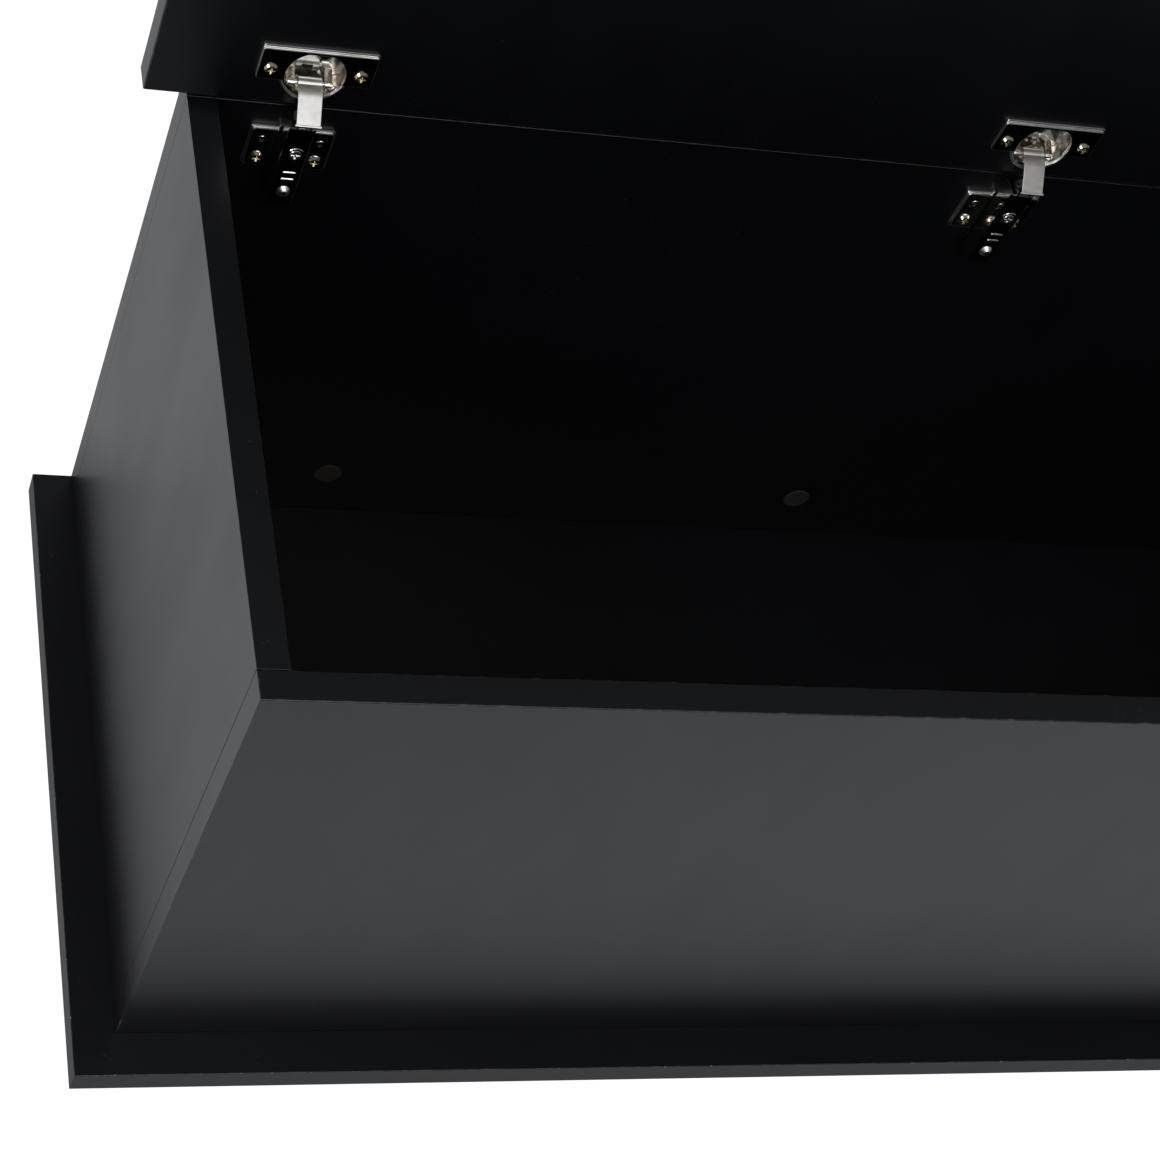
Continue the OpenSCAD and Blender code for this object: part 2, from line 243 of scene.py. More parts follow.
class Dressing:
    """A material under construction around one Principled shader."""

    def __init__(self, name: str) -> None:
        """Makes the material with its shader and output."""
        self.material = bpy.data.materials.new(name)
        self.material.use_nodes = True
        self.tree = self.material.node_tree
        self.shader = next(n for n in self.tree.nodes if n.type == "BSDF_PRINCIPLED")

    def set(self, **values: object) -> None:
        """Sets shader sockets; an underscore in a name stands for a space."""
        for label, value in values.items():
            self.shader.inputs[label.replace("_", " ")].default_value = value

    def group(self, tree: bpy.types.NodeTree, **values: float) -> bpy.types.Node:
        """Places a node group with its own values."""
        made = self.tree.nodes.new("ShaderNodeGroup")
        made.node_tree = tree
        for label, value in values.items():
            made.inputs[label].default_value = value
        return made

    def colour(self, mask: bpy.types.NodeSocket, first: object, second: tuple[float, float, float]
               ) -> bpy.types.NodeSocket:
        """Mixes two colours by a mask.

        Args:
            mask: 0 for the first colour, 1 for the second.
            first: A colour or a socket.
            second: A colour.

        Returns:
            The mixed colour's socket.
        """
        mix = self.tree.nodes.new("ShaderNodeMix")
        mix.data_type = "RGBA"
        self.tree.links.new(mask, mix.inputs[0])
        if isinstance(first, bpy.types.NodeSocket):
            self.tree.links.new(first, mix.inputs[6])
        else:
            mix.inputs[6].default_value = (*first, 1.0)
        mix.inputs[7].default_value = (*second, 1.0)
        return mix.outputs[2]

    def between(self, mask: bpy.types.NodeSocket, low: float, high: float) -> bpy.types.NodeSocket:
        """Maps a mask to low..high."""
        made = self.tree.nodes.new("ShaderNodeMapRange")
        self.tree.links.new(mask, made.inputs["Value"])
        made.inputs["To Min"].default_value = low
        made.inputs["To Max"].default_value = high
        return made.outputs["Result"]

    def feed(self, source: bpy.types.NodeSocket, label: str) -> None:
        """Links a socket to one of the shader's."""
        self.tree.links.new(source, self.shader.inputs[label])

    def bump(self, height: bpy.types.NodeSocket, strength: float, distance: float) -> None:
        """Feeds a height to the shader's normal.

        Args:
            height: The height socket.
            strength: Bump strength.
            distance: Height of a full step, in metres.
        """
        made = self.tree.nodes.new("ShaderNodeBump")
        made.inputs["Strength"].default_value = strength
        made.inputs["Distance"].default_value = distance
        self.tree.links.new(height, made.inputs["Height"])
        self.feed(made.outputs["Normal"], "Normal")


@dataclass(frozen=True)
class FoilFinish:
    """Black decor foil on a board."""

    name: str
    dark: tuple[float, float, float] = (0.0014, 0.0016, 0.0024)
    light: tuple[float, float, float] = (0.0026, 0.0029, 0.0042)
    dust: tuple[float, float, float] = (0.10, 0.095, 0.09)
    gloss: tuple[float, float] = (0.345, 0.385)
    dust_amount: float = 0.35
    relief: float = 0.05

    def build(self, groups: dict[str, bpy.types.NodeTree]) -> bpy.types.Material:
        """Makes the material from the shared groups."""
        made = Dressing(self.name)
        foil = made.group(groups["foil"])
        dust = made.group(groups["dust"], Amount=self.dust_amount)
        tone = made.colour(foil.outputs["Tone"], self.dark, self.light)
        made.feed(made.colour(dust.outputs["Mask"], tone, self.dust), "Base Color")
        made.feed(made.between(foil.outputs["Gloss"], *self.gloss), "Roughness")
        made.set(IOR=1.5, Specular_IOR_Level=0.5)
        made.bump(foil.outputs["Height"], self.relief, 0.00004)
        return made.material


@dataclass(frozen=True)
class EdgeFinish:
    """The same foil along an edge, a touch lighter, with worn spots; the lighter tone and spots are partly
    real wear, partly painted highlight lines.
    """

    name: str
    foil: tuple[float, float, float] = (0.003, 0.0032, 0.0038)
    rub_and_highlight_tint: tuple[float, float, float] = (0.16, 0.14, 0.12)
    amount: float = 0.5

    def build(self, groups: dict[str, bpy.types.NodeTree]) -> bpy.types.Material:
        """Makes the material from the shared groups."""
        made = Dressing(self.name)
        rub_and_highlight = made.group(groups["rub_and_highlight"], Amount=self.amount)
        foil = made.group(groups["foil"])
        # Lighter tint on the worn spots: partly real wear, partly a painted highlight along the edge.
        made.feed(made.colour(rub_and_highlight.outputs["Mask"], self.foil, self.rub_and_highlight_tint), "Base Color")
        made.feed(made.between(rub_and_highlight.outputs["Mask"], 0.30, 0.7), "Roughness")
        made.set(IOR=1.5)
        made.bump(foil.outputs["Height"], 0.08, 0.00004)
        return made.material


@dataclass(frozen=True)
class PlatedFinish:
    """Nickel or zinc plate on steel."""

    name: str
    colour: tuple[float, float, float]
    tarnish: tuple[float, float, float]
    gloss: tuple[float, float] = (0.08, 0.2)
    ripple: float = 1.0
    scale: float = 220.0

    def build(self, groups: dict[str, bpy.types.NodeTree]) -> bpy.types.Material:
        """Makes the material from the shared groups."""
        made = Dressing(self.name)
        plate = made.group(groups["plating"], Scale=self.scale, Ripple=self.ripple)
        made.feed(made.colour(plate.outputs["Tarnish"], self.colour, self.tarnish), "Base Color")
        made.feed(made.between(plate.outputs["Smudge"], *self.gloss), "Roughness")
        made.set(Metallic=1.0)
        made.bump(plate.outputs["Height"], 0.25, 0.0002)
        return made.material


@dataclass(frozen=True)
class DullFinish:
    """A dull material that varies between two colours: plastic, rubber, raw wood or chipboard."""

    name: str
    first: tuple[float, float, float]
    second: tuple[float, float, float]
    rough: tuple[float, float] = (0.45, 0.6)
    relief: float = 0.2

    def build(self, groups: dict[str, bpy.types.NodeTree]) -> bpy.types.Material:
        """Makes the material from the shared groups."""
        made = Dressing(self.name)
        plate = made.group(groups["plating"], Scale=700.0)
        made.feed(made.colour(plate.outputs["Smudge"], self.first, self.second), "Base Color")
        made.feed(made.between(plate.outputs["Tarnish"], *self.rough), "Roughness")
        made.bump(plate.outputs["Height"], self.relief, 0.0001)
        return made.material


NICKEL = PlatedFinish("bright_nickel", (0.80, 0.78, 0.75), (0.60, 0.56, 0.50))
PALE_NICKEL = PlatedFinish("pale_nickel", (0.66, 0.635, 0.60), (0.59, 0.555, 0.51), (0.34, 0.44), 0.4)
# A lighter copy of the nickel for painted highlights on edge roundings, the cup ring and screw heads.
HIGHLIGHT_NICKEL = PlatedFinish("highlight_nickel", (0.97, 0.96, 0.94), (0.90, 0.87, 0.82), (0.28, 0.38), 0.15)
# The cup's lining and lugs: the warm tint of both its colours, the one called tarnish too, is a painted warm
# reflection.
CUP_NICKEL = PlatedFinish("cup_nickel", (0.86, 0.82, 0.76), (0.72, 0.63, 0.53), (0.14, 0.3), 1.6)
YELLOW_ZINC = PlatedFinish("yellow_zinc", (0.76, 0.69, 0.52), (0.55, 0.44, 0.27), (0.16, 0.3))
CLEAR_ZINC = PlatedFinish("clear_zinc", (0.66, 0.67, 0.69), (0.45, 0.45, 0.45), (0.2, 0.4))
FOIL = FoilFinish("black_foil")
EDGE = EdgeFinish("foil_edge")
CAP = DullFinish("cap_plastic", (0.030, 0.026, 0.023), (0.055, 0.045, 0.038))
# Real glide plastic, also used for dark crosses and discs that paint the shade of screw slots and plate
# holes.
GLIDE_AND_HOLE_SHADE = DullFinish("glide_plastic", (0.012, 0.012, 0.012), (0.02, 0.02, 0.02))
BUMPER = DullFinish("bumper_rubber", (0.55, 0.55, 0.52), (0.62, 0.62, 0.58), (0.3, 0.4))
BEECH = DullFinish("raw_beech", (0.52, 0.34, 0.19), (0.62, 0.43, 0.26), (0.6, 0.75))
CHIPBOARD = DullFinish("bare_chipboard", (0.16, 0.125, 0.09), (0.30, 0.25, 0.19), (0.7, 0.85), 0.6)


@dataclass(frozen=True)
class FloorFinish:
    """A pale studio floor, lit a little by its own glow so that it stays even, with a painted shadow round
    the table where the glow is lowered.
    """

    name: str
    colour: tuple[float, float, float] = (0.26, 0.26, 0.26)
    glow_tint: tuple[float, float, float] = (0.94, 0.96, 1.0)
    glow: float = 0.475
    painted_shadow_glow: float = 0.19
    painted_shadow_reach: float = 0.075
    seen_glow: float = 1.0

    def build(self, groups: dict[str, bpy.types.NodeTree]) -> bpy.types.Material:
        """Makes the material; the shared groups aren't needed."""
        made = Dressing(self.name)
        made.set(Base_Color=(*self.colour, 1.0), Roughness=0.9, Specular_IOR_Level=0.0,
                 Emission_Color=(*self.glow_tint, 1.0))
        nodes, links = made.tree.nodes, made.tree.links
        spot = nodes.new("ShaderNodeNewGeometry").outputs["Position"]
        for operation, other in (("ABSOLUTE", None), ("SUBTRACT", (*CAD_BOX[1][:2], 0.0)),
                                 ("MAXIMUM", (0.0, 0.0, 0.0)), ("LENGTH", None)):
            step = nodes.new("ShaderNodeVectorMath")
            step.operation = operation
            links.new(spot, step.inputs[0])
            if other:
                step.inputs[1].default_value = other
            spot = step.outputs["Value" if operation == "LENGTH" else "Vector"]
        # Painted shadow: the glow is lowered close to the table's footprint and rises to full over a few
        # centimetres.
        shade = nodes.new("ShaderNodeMapRange")
        shade.interpolation_type = "SMOOTHSTEP"
        links.new(spot, shade.inputs["Value"])
        shade.inputs["From Max"].default_value = self.painted_shadow_reach
        shade.inputs["To Min"].default_value = self.painted_shadow_glow
        shade.inputs["To Max"].default_value = self.glow
        glow = nodes.new("ShaderNodeMix")
        links.new(nodes.new("ShaderNodeLightPath").outputs["Is Camera Ray"], glow.inputs["Factor"])
        links.new(shade.outputs["Result"], glow.inputs["A"])
        glow.inputs["B"].default_value = self.seen_glow
        made.feed(glow.outputs["Result"], "Emission Strength")
        return made.material


STUDIO_FLOOR = FloorFinish("studio_floor")


class Paint:
    """Every material of the table, built once."""

    def __init__(self) -> None:
        """Builds the shared groups and all finishes."""
        groups = {"foil": embossed_foil(), "dust": dust_specks(), "rub_and_highlight": edge_rub_and_highlight(), "plating": plating()}
        finishes = (NICKEL, PALE_NICKEL, HIGHLIGHT_NICKEL, CUP_NICKEL, YELLOW_ZINC, CLEAR_ZINC, FOIL, EDGE, CAP,
                    GLIDE_AND_HOLE_SHADE, BUMPER, BEECH, CHIPBOARD, STUDIO_FLOOR)
        self.by_name = {finish.name: finish.build(groups) for finish in finishes}

    def __call__(self, finish: object) -> bpy.types.Material:
        """Returns a finish's material."""
        return self.by_name[finish.name]


# ---- mesh making ------------------------------------------------------------


def arc(centre: Point, radius: float, start: float, end: float, steps: int = 8) -> list[Point]:
    """Points on an arc.

    Args:
        centre: The arc's centre.
        radius: Its radius.
        start: First angle, in degrees.
        end: Last angle, in degrees.
        steps: How many spans it has.

    Returns:
        The points from start to end, both included.
    """
    turns = [math.radians(start + (end - start) * i / steps) for i in range(steps + 1)]
    return [(centre[0] + radius * math.cos(t), centre[1] + radius * math.sin(t)) for t in turns]


def rounded_box(low: Point, high: Point, radius: float) -> list[Point]:
    """A rectangle with rounded corners, anticlockwise from its lower left corner."""
    (x0, y0), (x1, y1) = low, high
    corners = (((x0 + radius, y0 + radius), 180), ((x1 - radius, y0 + radius), 270),
               ((x1 - radius, y1 - radius), 0), ((x0 + radius, y1 - radius), 90))
    return [p for centre, turn in corners for p in arc(centre, radius, turn, turn + 90, 4)]


class Shape:
    """One piece's mesh under construction, in millimetres about its own origin."""

    def __init__(self) -> None:
        """Starts an empty mesh."""
        self.bm = bmesh.new()

    def add(self, part: bmesh.types.BMesh, slot: int) -> None:
        """Joins a closed shell to the piece.

        Args:
            part: The shell; it is used up.
            slot: The material slot of its faces, added to what they have.
        """
        bmesh.ops.recalc_face_normals(part, faces=part.faces)
        for face in part.faces:
            face.material_index += slot
            face.smooth = True
        carrier = bpy.data.meshes.new("carrier")
        part.to_mesh(carrier)
        part.free()
        self.bm.from_mesh(carrier)
        bpy.data.meshes.remove(carrier)

    def prism(self, outline: list[Point], low: float, high: float, axis: Axis, soft: float = 0.2,
              slot: int = 0, soft_slot: int = 0) -> None:
        """Adds an outline extruded along an axis, with rounded edges.

        Args:
            outline: The outline's corners in order.
            low: Where the extrusion starts.
            high: Where it ends.
            axis: The extrusion's direction.
            soft: Width of the rounding, 0 for none.
            slot: Material slot.
            soft_slot: How much further on the rounded edges' slot is.
        """
        part = bmesh.new()
        rings = []
        for along in (low, high):
            spots = [(a, b, along) for a, b in outline]
            rings.append([part.verts.new([spot[i] for i in axis.value]) for spot in spots])
        count = len(outline)
        part.faces.new(rings[0])
        part.faces.new(rings[1])
        for i in range(count):
            j = (i + 1) % count
            part.faces.new((rings[0][i], rings[0][j], rings[1][j], rings[1][i]))
        self.soften(part, soft, soft_slot)
        self.add(part, slot)

    @staticmethod
    def soften(part: bmesh.types.BMesh, width: float, slot: int) -> None:
        """Rounds a shell's sharp edges.

        Args:
            part: The shell.
            width: Width of the rounding.
            slot: Material slot of the rounding.
        """
        bmesh.ops.recalc_face_normals(part, faces=part.faces)
        sharp = [e for e in part.edges if e.calc_face_angle(0.0) > math.radians(40)]
        if width > 0 and sharp:
            done = bmesh.ops.bevel(part, geom=sharp, offset=width, segments=2, profile=0.5,
                                   affect="EDGES", clamp_overlap=True)
            for face in done["faces"]:
                face.material_index = slot

    def lathe(self, profile: list[Point], centre: tuple[float, float, float], axis: Axis,
              steps: int = 64, slot: int = 0, flat: bool = False) -> None:
        """Adds a turned shell.

        Args:
            profile: (radius, distance along the axis) pairs; radius 0 closes the shell on the axis.
            centre: Where the axis starts.
            axis: The axis's direction.
            steps: Facets round the axis.
            slot: Material slot.
            flat: Whether the facets stay flat.
        """
        part = bmesh.new()
        rings = []
        for radius, along in profile:
            spots = [(0.0, 0.0, along)]
            if radius > 0:
                turns = [2 * math.pi * i / steps for i in range(steps)]
                spots = [(radius * math.cos(t), radius * math.sin(t), along) for t in turns]
            placed = [Vector([spot[i] for i in axis.value]) + Vector(centre) for spot in spots]
            rings.append([part.verts.new(p) for p in placed])
        closed = profile[0][0] > 0
        pairs = list(zip(rings, rings[1:] + rings[:1])) if closed else list(zip(rings, rings[1:]))
        for first, second in pairs:
            for i in range(steps):
                j = (i + 1) % steps
                corners = [first[i % len(first)], first[j % len(first)],
                           second[j % len(second)], second[i % len(second)]]
                part.faces.new(list(dict.fromkeys(corners)))
        self.add(part, slot)
        if flat:
            for face in list(self.bm.faces)[-len(pairs) * steps:]:
                face.smooth = False

    def piece(self, name: str, origin: Vector, finishes: list[bpy.types.Material],
              crease: float = 35.0) -> bpy.types.Object:
        """Finishes the mesh as an object.

        Args:
            name: The piece's name.
            origin: Where the piece's own origin lies, in metres.
            finishes: Its materials, by slot.
            crease: Faces that meet at more than this angle keep a sharp edge, in degrees.

        Returns:
            The new object.
        """
        self.bm.transform(Matrix.Translation(origin) @ Matrix.Scale(MM, 4))
        mesh = bpy.data.meshes.new(name)
        self.bm.to_mesh(mesh)
        self.bm.free()
        mesh.set_sharp_from_angle(angle=math.radians(crease))
        made = bpy.data.objects.new(name, mesh)
        bpy.context.collection.objects.link(made)
        for finish in finishes:
            mesh.materials.append(finish)
        made.modifiers.new("even_normals", "WEIGHTED_NORMAL").keep_sharp = True
        return made


def settle(piece: bpy.types.Object, body: str, slot: str, *nodes: str) -> None:
    """Joins a piece to its body.

    Args:
        piece: The piece.
        body: The CAD body it moves with.
        slot: The record's material slot, not used.
        nodes: The CAD nodes it stands for.
    """
    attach(piece, body)
    if nodes:
        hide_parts(*nodes)
    log.info("%s rides on %s", piece.name, body)


# ---- boards -----------------------------------------------------------------


@dataclass
class Board:
    """A foil-covered board in the place of one CAD board."""

    node: str
    body: str
    paint: Paint
    soft: float = 0.55
    cups: list[Vector] = field(default_factory=list)
    cup_radius: float = 17.54
    cup_depth: float = 11.4

    def __post_init__(self) -> None:
        """Reads the board's place from the frame."""
        low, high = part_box(self.node)
        self.low = Vector(low) / MM
        self.high = Vector(high) / MM

    def corners(self, part: bmesh.types.BMesh) -> list[bmesh.types.BMVert]:
        """Adds the eight corners: front four anticlockwise seen from the front, then the back four."""
        spots = [(x, y, z) for y in (self.low.y, self.high.y)
                 for x, z in ((self.low.x, self.low.z), (self.high.x, self.low.z),
                              (self.high.x, self.high.z), (self.low.x, self.high.z))]
        return [part.verts.new(spot) for spot in spots]

    def bored_face(self, part: bmesh.types.BMesh, rim: list[bmesh.types.BMVert]) -> None:
        """Closes the board's front face round its blind cup bores.

        Args:
            part: The board's shell.
            rim: The front face's corners in order.
        """
        edges = [part.edges.get((rim[i], rim[(i + 1) % 4])) for i in range(4)]
        for cup in self.cups:
            ring, floor = ([part.verts.new((x, y, z)) for x, z in
                            arc((cup.x, cup.z), self.cup_radius, 0, 360 - 360 / 64, 63)]
                           for y in (self.low.y, self.low.y + self.cup_depth))
            for i in range(len(ring)):
                j = (i + 1) % len(ring)
                part.faces.new((ring[i], ring[j], floor[j], floor[i]))
                edges.append(part.edges.get((ring[i], ring[j])))
            part.faces.new(floor)
        bmesh.ops.triangle_fill(part, use_beauty=True, use_dissolve=False, edges=edges)

    def build(self) -> bpy.types.Object:
        """Makes the board with rounded edges in the edge finish.

        Returns:
            The board.
        """
        part = bmesh.new()
        spots = self.corners(part)
        front, back = spots[:4], spots[4:]
        for i in range(4):
            j = (i + 1) % 4
            part.faces.new((front[i], front[j], back[j], back[i]))
        part.faces.new(back)
        sharp = list(part.edges)
        if self.cups:
            self.bored_face(part, front)
        else:
            part.faces.new(front)
        bmesh.ops.recalc_face_normals(part, faces=part.faces)
        done = bmesh.ops.bevel(part, geom=sharp, offset=self.soft, segments=3, profile=0.5, affect="EDGES")
        for face in done["faces"]:
            face.material_index = 1
        shape = Shape()
        shape.add(part, 0)
        made = shape.piece(f"{self.node}_board", Vector(), [self.paint(FOIL), self.paint(EDGE)])
        settle(made, self.body, "black_board", self.node)
        return made


@dataclass
class EdgeChips:
    """Small places along the base plate's upper edges where the foil is missing."""

    paint: Paint
    seed: int = 7
    front_count: int = 26
    side_count: int = 9
    longest: float = 2.6

    def chip(self, part: bmesh.types.BMesh, spot: Vector, along: Vector, out: Vector,
             luck: random.Random) -> None:
        """Adds one chip, a low uneven patch lying on the edge's rounding.

        Args:
            part: The mesh that gathers the chips.
            spot: The chip's centre.
            along: Unit vector along the edge.
            out: Unit vector out of the edge.
            luck: Source of its size and outline.
        """
        across = along.cross(out)
        length = luck.uniform(0.5, self.longest)
        width = luck.uniform(0.22, 0.42)
        rim = []
        for step in range(9):
            turn = 2 * math.pi * step / 9
            reach = luck.uniform(0.65, 1.0)
            rim.append(part.verts.new(spot + along * length * reach * math.cos(turn) / 2
                                      + across * width * reach * math.sin(turn) - out * 0.04))
        top = part.verts.new(spot + out * 0.03)
        foot = part.verts.new(spot - out * 0.3)
        for step in range(9):
            after = (step + 1) % 9
            part.faces.new((rim[step], rim[after], top))
            part.faces.new((rim[after], rim[step], foot))

    def build(self) -> bpy.types.Object:
        """Makes all chips as one piece.

        Returns:
            The piece.
        """
        luck = random.Random(self.seed)
        low, high = (Vector(v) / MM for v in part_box("base_plate"))
        part = bmesh.new()
        inset = Board.soft * 0.293
        for index in range(self.front_count):
            reach = luck.random() ** 2.2 if index % 3 else luck.random()
            x = low.x + 6 + reach * (high.x - low.x - 12)
            spot = Vector((x, low.y + inset, high.z - inset))
            self.chip(part, spot, Vector((1, 0, 0)), Vector((0, -1, 1)).normalized(), luck)
        for index in range(self.side_count):
            y = low.y + 6 + luck.random() * (high.y - low.y - 12)
            spot = Vector((low.x + inset, y, high.z - inset))
            self.chip(part, spot, Vector((0, 1, 0)), Vector((-1, 0, 1)).normalized(), luck)
        shape = Shape()
        shape.add(part, 0)
        made = shape.piece("base_edge_chips", Vector(), [self.paint(CHIPBOARD)])
        settle(made, "carcass", "black_board")
        return made


# ---- hinges -----------------------------------------------------------------


@dataclass
class CupHinge:
    """One concealed hinge; its axes are X across, Y outward from the back panel, Z up from the rim."""

    name: str
    paint: Paint
    cup_radius: float = 17.5
    rim_radius: float = 18.4
    rim_thick: float = 1.5
    flange_wide: float = 61.5
    flange_thick: float = 2.3
    flange_low: float = -5.0
    flange_high: float = 17.8
    opening: float = 15.7
    wing_out: float = 23.5
    wing_thick: float = 2.8
    wing_top: float = -15.0
    wing_foot: float = -44.5
    hole_out: float = 16.0
    rings: tuple[Point, ...] = ((-24.0, 2.4), (-37.0, 3.9))
    arm_wide: float = 14.5
    arm_sheet: float = 1.3
    link_wide: float = 13.0
    cover_y: float = 4.0
    cover_thick: float = 1.1
    roll_inner: float = 2.1

    def __post_init__(self) -> None:
        """Reads the hinge's place from the frame."""
        arm_low, arm_high = (Vector(v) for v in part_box(f"hinge_arm_{self.name}"))
        panel_low, panel_high = (Vector(v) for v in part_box("back_panel"))
        lid_low, _ = (Vector(v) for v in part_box("lid_panel"))
        _, cup_high = (Vector(v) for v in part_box(f"hinge_cup_{self.name}"))
        middle = (arm_low.x + arm_high.x) / 2
        self.origin = Vector((middle, panel_low.y, panel_high.z))
        self.cup_origin = Vector((middle, lid_low.y, cup_high.z - self.flange_high * MM))
        self.arm_face = (arm_low.y - self.origin.y) / MM
        joints = {j["name"]: Vector(j["pos_m"]) for j in frame["record"]["behaviour"]["joints"]}
        self.arm_pin = self.local(joints["outer_link_turn"])
        self.lid_pin = self.local(joints["lid_swing"])
        self.inner_pin = self.local(joints["inner_link_turn"])

    def local(self, spot: Vector) -> Point:
        """A place in the frame as (outward, up) in the hinge's own section."""
        return ((spot.y - self.origin.y) / MM, (spot.z - self.origin.z) / MM)

    def cup(self) -> None:
        """Makes the cup with its two-layer flange, ring, pressed lining and pin lugs."""
        shape = Shape()
        chord = math.degrees(math.asin(-self.flange_low / self.opening))
        half = self.flange_wide / 2
        ceiling = self.flange_high - 3.6
        bay = [(x, min(z, ceiling)) for x, z in arc((0, 0), self.opening, 180 + chord, -chord, 40)]
        corner = 1.4
        middle = -self.flange_thick / 2
        for near, far, top in ((middle, 0.0, self.flange_high),
                               (-self.flange_thick, middle, self.flange_high - 1.7)):
            rim = (arc((-half + corner, self.flange_low + corner), corner, 180, 270, 4) + bay
                   + arc((half - corner, self.flange_low + corner), corner, 270, 360, 4)
                   + arc((half - corner, top - corner), corner, 0, 90, 4)
                   + arc((-half + corner, top - corner), corner, 90, 180, 4))
            # The flange's rounded edges take the lighter nickel copy: painted highlight lines.
            shape.prism(rim, near, far, Axis.Y, 0.45, 0, 2)
        inner = self.cup_radius - 1.1
        edge = -self.rim_thick
        shape.lathe([(0, 11.3), (self.cup_radius, 11.3), (self.cup_radius, edge + 1.0), (inner, edge + 1.0),
                     (inner, 9.6), (inner - 0.8, 10.35), (0, 10.35)], (0, 0, 0), Axis.Y, 96)
        # The ring's bead is in the lighter nickel copy: a painted highlight arc along the cup's rim.
        bead = (arc((0, 0), self.rim_radius, 176, 364, 64)
                + arc((0, 0), self.rim_radius - 1.3, 364, 176, 64))
        shape.prism(bead, edge, 0.0, Axis.Y, 0.5, 2)
        # Faceted lining in the warm cup nickel, whose warm tint is a painted reflection.
        shape.lathe([(inner - 0.25, 0.4), (inner + 0.05, 0.4), (inner + 0.05, 10.3), (inner - 0.25, 10.3)],
                    (0, 0, 0), Axis.Y, 12, 1, True)
        deep = self.lid_pin[0] + (self.origin.y - self.cup_origin.y) / MM
        drop = self.lid_pin[1] + (self.origin.z - self.cup_origin.z) / MM
        for side in SIDES:
            lug = [(10.3, drop - 2.5), (10.3, drop + 5)] + arc((deep, drop), 2.4, 70, 290, 10)
            shape.prism(lug, side * 7.8, side * 12.2, Axis.X, 0.5, 1)
        finishes = [self.paint(NICKEL), self.paint(CUP_NICKEL), self.paint(HIGHLIGHT_NICKEL)]
        made = shape.piece(f"cup_{self.name}", self.cup_origin, finishes)
        settle(made, "lid", "nickel_steel", f"hinge_cup_{self.name}")

    def plate(self) -> None:
        """Makes the mounting plate: two wings with a raised tongue between them."""
        shape = Shape()
        face = -self.wing_thick
        for side in SIDES:
            for shrink, near, far in ((0.0, -1.5, 0.0), (0.9, face, -1.45)):
                out = self.wing_out - shrink
                top, foot = self.wing_top - shrink, self.wing_foot + shrink
                rim = (arc((out - 2.2, top - 2.2), 2.2, 0, 90, 5) + [(7.0, top), (7.0, foot)]
                       + arc((out - 3.2, foot + 3.2), 3.2, 270, 360, 5))
                # The wings' rounded edges take the lighter nickel copy: painted highlight lines.
                shape.prism([(side * x, z) for x, z in rim], near, far, Axis.Y, 0.55, 0, 2)
            for height, radius in self.rings:
                place = (side * self.hole_out, 0, height)
                shape.lathe([(radius - 0.9, face - 0.28), (radius, face - 0.2), (radius + 0.35, face + 0.1),
                             (radius - 0.9, face + 0.1)], place, Axis.Y, 32)
                # No hole is cut: a dark disc inside the ring paints the hole's shade and the black board
                # behind it.
                if radius < 3:
                    shape.lathe([(0, face - 0.02), (radius - 0.8, face - 0.02), (radius - 0.8, face + 0.3),
                                 (0, face + 0.3)], place, Axis.Y, 32, 1)
        shape.prism(rounded_box((-5.7, -52), (5.7, -12), 0.8), -9.0, -0.2, Axis.Y, 0.4)
        shape.prism(rounded_box((-8.6, -52), (8.6, -12.6), 1.2), face, -0.1, Axis.Y, 0.4)
        made = shape.piece(f"mounting_plate_{self.name}_pressing", self.origin,
                           [self.paint(NICKEL), self.paint(GLIDE_AND_HOLE_SHADE), self.paint(HIGHLIGHT_NICKEL)])
        settle(made, "carcass", "nickel_steel", f"mounting_plate_{self.name}")

    def arm(self) -> None:
        """Makes the arm: a folded channel with ribs on its face and two nose cheeks."""
        shape = Shape()
        half = self.arm_wide / 2
        face = self.arm_face
        sheet = self.arm_sheet
        bend = 1.7
        left, right = (-half + bend, face + bend), (half - bend, face + bend)
        foot = -3.2
        channel = (arc(left, bend, 180, 270, 5) + arc(right, bend, 270, 360, 5)
                   + [(half, foot), (half - sheet, foot)]
                   + arc(right, bend - sheet, 360, 270, 3) + arc(left, bend - sheet, 270, 180, 3)
                   + [(-half + sheet, foot), (-half, foot)])
        shape.prism(channel, -58.0, -1.2, Axis.Z, 0.18)
        for height, tall in ((-34.6, 1.3), (-39.4, 1.1)):
            bar = rounded_box((-3.6, height), (3.6, height + tall), 0.5)
            shape.prism(bar, face - 0.55, face + 0.4, Axis.Y, 0.2)
        ring = [(2.5, -0.35), (4.7, -0.35), (5.0, 0.1), (2.5, 0.1)]
        shape.lathe([(r, face + h) for r, h in ring], (0, 0, -20), Axis.Y, 40)
        a, b = self.arm_pin, self.inner_pin
        cheek = ([(face + 0.6, -7), (-6, -7), (-6, -1)] + arc(b, 2.2, -10, 40, 4) + arc(a, 2.4, 20, 200, 10)
                 + [(face + 0.1, -1)])
        for side in SIDES:
            shape.prism(cheek, side * 2.9, side * 4.5, Axis.X, 0.2)
        made = shape.piece(f"arm_{self.name}", self.origin, [self.paint(NICKEL)])
        settle(made, "carcass", "nickel_steel", f"hinge_arm_{self.name}")

    def link(self) -> None:
        """Makes the outer link: a pale cover plate that ends in a roll over the cup pin."""
        shape = Shape()
        a, b = Vector(self.arm_pin), Vector(self.lid_pin)
        span = (b - a).length
        along = (b - a).normalized()
        left = Vector((-along.y, along.x))

        def place(points: list[Point]) -> list[Point]:
            """Turns points in the link's own axes into the hinge's section."""
            return [tuple(a + along * x + left * y) for x, y in points]

